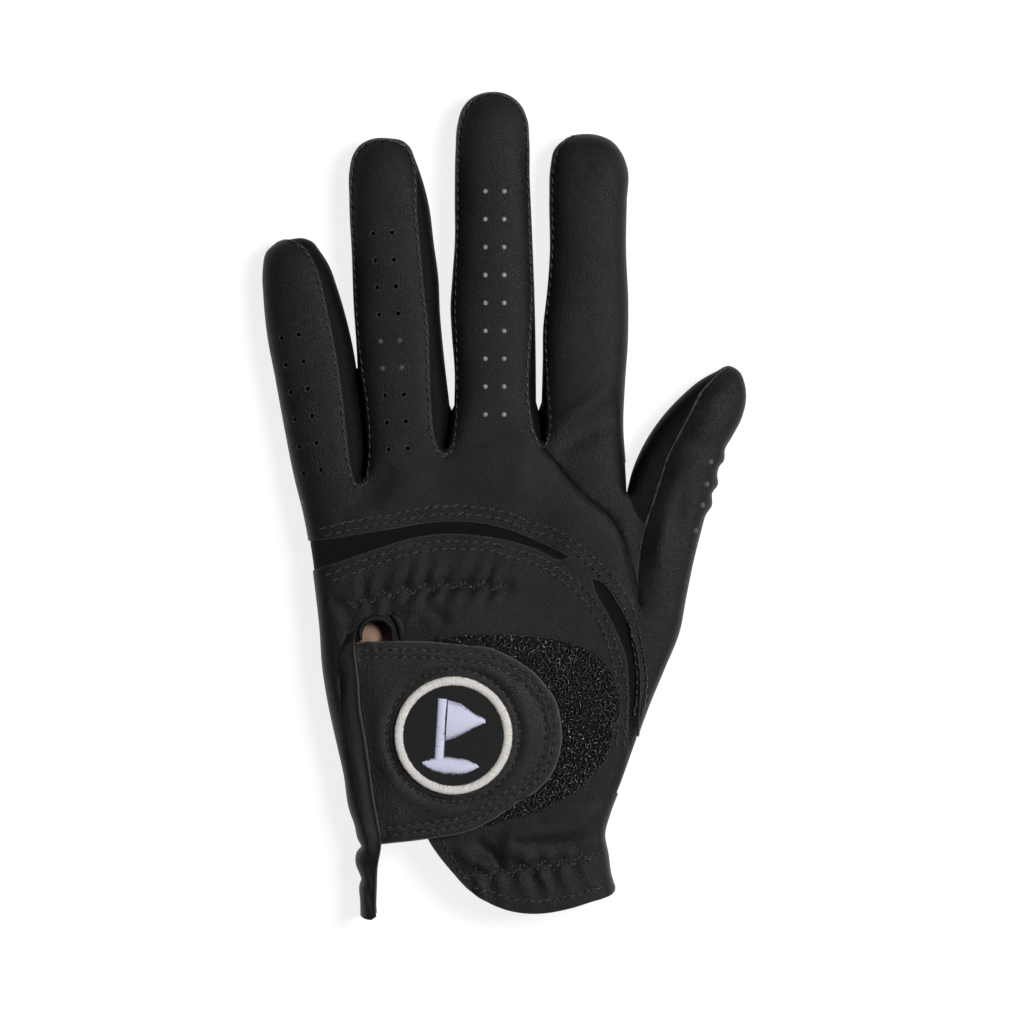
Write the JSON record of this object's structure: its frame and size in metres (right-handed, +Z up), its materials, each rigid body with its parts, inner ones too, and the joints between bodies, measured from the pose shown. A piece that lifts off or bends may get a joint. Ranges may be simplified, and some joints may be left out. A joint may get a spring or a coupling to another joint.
{
  "type": "golf glove",
  "caption": "Left-hand leather golf glove with knit stretch inserts, elastic gathers, finger perforations and a hook-and-loop wrist tab carrying a round badge.",
  "frame": {"origin": "middle of the bounding box in plan, on the palm's resting face", "axes": "+Z up, out of the back of the hand; +Y towards the fingertips; +X towards the thumb"},
  "size_m": [0.1254, 0.2148, 0.022],
  "materials": {
    "leather": "fine-grained, soft sheen",
    "stretch_knit": "matte knit",
    "elastic_tape": "ribbed elastic",
    "loop_pile": "napped loops",
    "hook_tape": "moulded hooks",
    "badge_twill": "ribbed twill",
    "border_thread": "merrowed thread",
    "emblem_thread": "satin stitch"
  },
  "bodies": {
    "hand": {"palm_panel": "leather", "knuckle_panel": "leather", "index_base_panel": "leather", "thumb_base_panel": "leather", "metacarpal_panel": "leather", "knuckle_knit_insert": "stretch_knit", "side_knit_insert": "stretch_knit", "knuckle_elastic": "elastic_tape", "heel_elastic": "elastic_tape", "heel_hem_facing": "leather", "palm_elastic": "elastic_tape", "loop_pad": "loop_pile", "anchor_strip": "leather", "vent_keeper": "leather"},
    "closure_tab": {"tab_leather": "leather", "hook_pad": "hook_tape", "badge_disc": "badge_twill", "badge_border": "border_thread", "badge_emblem": "emblem_thread"},
    "little_finger": {"little_back": "leather", "little_right_sidewall": "leather", "little_palm": "leather"},
    "ring_finger": {"ring_back": "leather", "ring_left_sidewall": "leather", "ring_right_sidewall": "leather", "ring_palm": "leather"},
    "middle_finger": {"middle_back": "leather", "middle_left_sidewall": "leather", "middle_right_sidewall": "leather", "middle_palm": "leather"},
    "index_finger": {"index_back": "leather", "index_left_sidewall": "leather", "index_palm": "leather"},
    "thumb": {"thumb_back": "leather", "thumb_side": "leather", "thumb_palm": "leather"}
  },
  "joints": [
    {"name": "tab_hinge", "type": "hinge", "parent": "hand", "child": "closure_tab", "pos_m": [-0.0355, -0.0617, 0.0171], "axis": [0.1169, -0.9919, -0.049], "range_deg": [0, 150]},
    {"name": "little_flex", "type": "hinge", "parent": "hand", "child": "little_finger", "pos_m": [-0.0458, 0.01, 0.0045], "axis": [-1, 0, 0], "range_deg": [0, 70]},
    {"name": "ring_flex", "type": "hinge", "parent": "hand", "child": "ring_finger", "pos_m": [-0.0251, 0.019, 0.0045], "axis": [-1, 0, 0], "range_deg": [0, 70]},
    {"name": "middle_flex", "type": "hinge", "parent": "hand", "child": "middle_finger", "pos_m": [-0.0023, 0.019, 0.0045], "axis": [-1, 0, 0], "range_deg": [0, 70]},
    {"name": "index_flex", "type": "hinge", "parent": "hand", "child": "index_finger", "pos_m": [0.02, 0.019, 0.0045], "axis": [-1, 0, 0], "range_deg": [0, 70]},
    {"name": "thumb_flex", "type": "hinge", "parent": "hand", "child": "thumb", "pos_m": [0.04255, -0.0008, 0.0045], "axis": [-0.9438, 0.3305, 0], "range_deg": [0, 45]}
  ]
}
